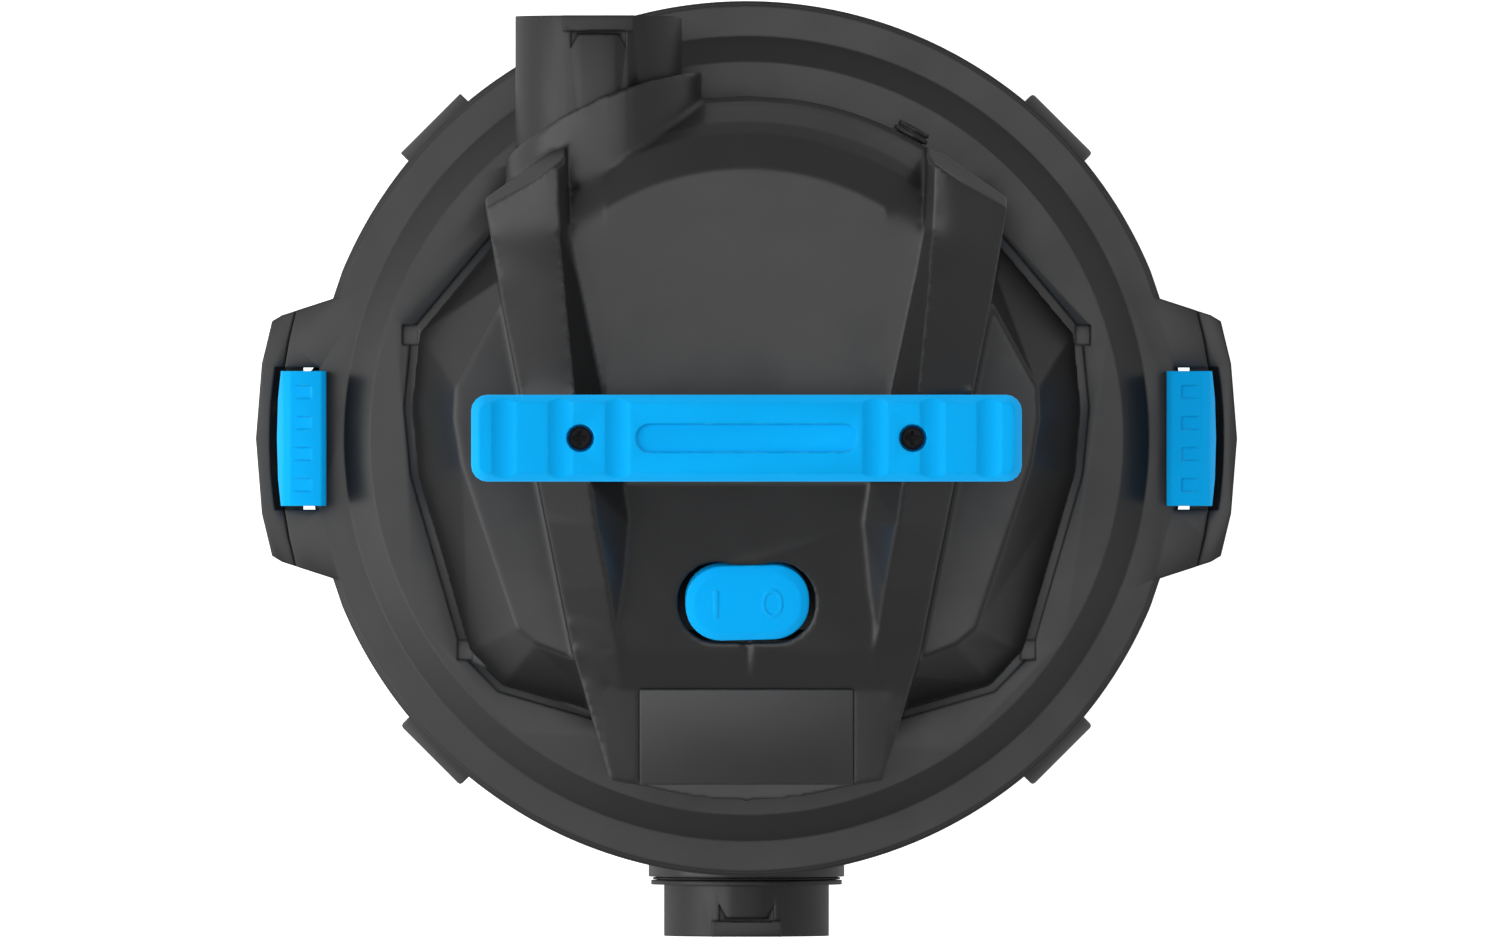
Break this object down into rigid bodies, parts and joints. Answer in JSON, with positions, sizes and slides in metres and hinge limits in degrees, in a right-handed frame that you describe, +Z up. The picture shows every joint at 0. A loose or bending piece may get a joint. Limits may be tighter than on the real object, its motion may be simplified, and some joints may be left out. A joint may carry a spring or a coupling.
{
  "type": "shop vacuum",
  "caption": "Round wet and dry shop vacuum: drum on casters with a latched lift-off motor head, bar handle, rocker switch and hose ports.",
  "frame": {"origin": "middle of the footprint, on the floor", "axes": "+Z up, -Y towards the hose inlet, +X to the right seen from the inlet side with the handle running along X"},
  "size_m": [0.393, 0.3754, 0.5989],
  "materials": {
    "drum_plastic": "black moulded plastic, fine texture",
    "black_plastic": "black moulded plastic, satin, fine spark-eroded grain",
    "blue_plastic": "bright blue moulded plastic, satin",
    "grey_plastic": "grey moulded plastic, plain",
    "wheel_rubber": "black rubber tread",
    "seal_rubber": "soft black rubber",
    "steel": "plain steel",
    "copper": "enamelled copper",
    "carbon": "pressed carbon",
    "filter_paper": "pleated filter paper"
  },
  "bodies": {
    "tank": {"tank_drum": "drum_plastic", "inlet_port": "black_plastic", "inlet_gasket": "seal_rubber", "inlet_deflector": "black_plastic", "drain_gasket": "seal_rubber", "caster_foot_1": "black_plastic", "caster_foot_2": "black_plastic", "caster_foot_3": "black_plastic", "caster_foot_4": "black_plastic", "latch_pin_left": "steel", "latch_pin_right": "steel"},
    "head": {"lid": "black_plastic", "lid_gasket": "seal_rubber", "motor_cover": "black_plastic", "nameplate": "black_plastic", "handle": "blue_plastic", "handle_screw_left": "black_plastic", "handle_screw_right": "black_plastic", "blower_port": "black_plastic", "exhaust_duct": "grey_plastic", "switch_body": "black_plastic", "cord_gland": "seal_rubber", "stator": "steel", "field_coil_left": "copper", "field_coil_right": "copper", "brush_left": "carbon", "brush_right": "carbon", "upper_bearing": "steel", "lower_bearing": "steel", "fan_housing": "grey_plastic", "motor_bracket": "grey_plastic", "motor_frame": "black_plastic", "filter_cage": "black_plastic"},
    "switch": {"switch_button": "blue_plastic"},
    "rotor": {"rotor_core": "steel", "motor_shaft": "steel", "commutator": "copper", "impeller": "steel", "cooling_fan": "black_plastic"},
    "float_body": {"float": "grey_plastic"},
    "filter": {"cartridge_filter": "filter_paper", "filter_cap": "black_plastic"},
    "knob": {"filter_knob": "grey_plastic"},
    "drain": {"drain_cap": "black_plastic"},
    "latch_left_body": {"latch_left": "blue_plastic"},
    "latch_right_body": {"latch_right": "blue_plastic"},
    "swivel_1": {"caster_fork_1": "black_plastic", "caster_axle_1": "steel"},
    "wheel_1": {"caster_wheel_1": "wheel_rubber"},
    "swivel_2": {"caster_fork_2": "black_plastic", "caster_axle_2": "steel"},
    "wheel_2": {"caster_wheel_2": "wheel_rubber"},
    "swivel_3": {"caster_fork_3": "black_plastic", "caster_axle_3": "steel"},
    "wheel_3": {"caster_wheel_3": "wheel_rubber"},
    "swivel_4": {"caster_fork_4": "black_plastic", "caster_axle_4": "steel"},
    "wheel_4": {"caster_wheel_4": "wheel_rubber"}
  },
  "joints": [
    {"name": "head_lift", "type": "slide", "parent": "tank", "child": "head", "axis": [0, 0, 1], "range_m": [0, 0.26]},
    {"name": "latch_left_swing", "type": "hinge", "parent": "tank", "child": "latch_left_body", "pos_m": [-0.181, 0.0124, 0.448], "axis": [0, -1, 0], "range_deg": [0, 80]},
    {"name": "latch_right_swing", "type": "hinge", "parent": "tank", "child": "latch_right_body", "pos_m": [0.181, 0.0124, 0.448], "axis": [0, 1, 0], "range_deg": [0, 80]},
    {"name": "switch_rock", "type": "hinge", "parent": "head", "child": "switch", "pos_m": [0, -0.05137, 0.51799], "axis": [0, 0.9513, 0.3081], "range_deg": [-8, 0]},
    {"name": "rotor_spin", "type": "hinge", "parent": "head", "child": "rotor", "pos_m": [0, 0.0124, 0.45], "axis": [0, 0, 1], "continuous": true},
    {"name": "float_rise", "type": "slide", "parent": "head", "child": "float_body", "axis": [0, 0, 1], "range_m": [0, 0.024]},
    {"name": "filter_pull", "type": "slide", "parent": "head", "child": "filter", "axis": [0, 0, -1], "range_m": [0, 0.12]},
    {"name": "knob_turn", "type": "hinge", "parent": "filter", "child": "knob", "pos_m": [0, 0.0124, 0.24], "axis": [0, 0, 1], "range_deg": [0, 360]},
    {"name": "drain_turn", "type": "hinge", "parent": "tank", "child": "drain", "pos_m": [0, 0.1784, 0.1], "axis": [0, 1, 0], "range_deg": [0, 360]},
    {"name": "swivel_1_turn", "type": "hinge", "parent": "tank", "child": "swivel_1", "pos_m": [0.10253, 0.11493, 0.05], "axis": [0, 0, 1], "continuous": true},
    {"name": "wheel_1_spin", "type": "hinge", "parent": "swivel_1", "child": "wheel_1", "pos_m": [0.10253, 0.12893, 0.02], "axis": [1, 0, 0], "continuous": true},
    {"name": "swivel_2_turn", "type": "hinge", "parent": "tank", "child": "swivel_2", "pos_m": [-0.10253, 0.11493, 0.05], "axis": [0, 0, 1], "continuous": true},
    {"name": "wheel_2_spin", "type": "hinge", "parent": "swivel_2", "child": "wheel_2", "pos_m": [-0.10253, 0.12893, 0.02], "axis": [1, 0, 0], "continuous": true},
    {"name": "swivel_3_turn", "type": "hinge", "parent": "tank", "child": "swivel_3", "pos_m": [-0.10253, -0.09013, 0.05], "axis": [0, 0, 1], "continuous": true},
    {"name": "wheel_3_spin", "type": "hinge", "parent": "swivel_3", "child": "wheel_3", "pos_m": [-0.10253, -0.07613, 0.02], "axis": [1, 0, 0], "continuous": true},
    {"name": "swivel_4_turn", "type": "hinge", "parent": "tank", "child": "swivel_4", "pos_m": [0.10253, -0.09013, 0.05], "axis": [0, 0, 1], "continuous": true},
    {"name": "wheel_4_spin", "type": "hinge", "parent": "swivel_4", "child": "wheel_4", "pos_m": [0.10253, -0.07613, 0.02], "axis": [1, 0, 0], "continuous": true}
  ]
}
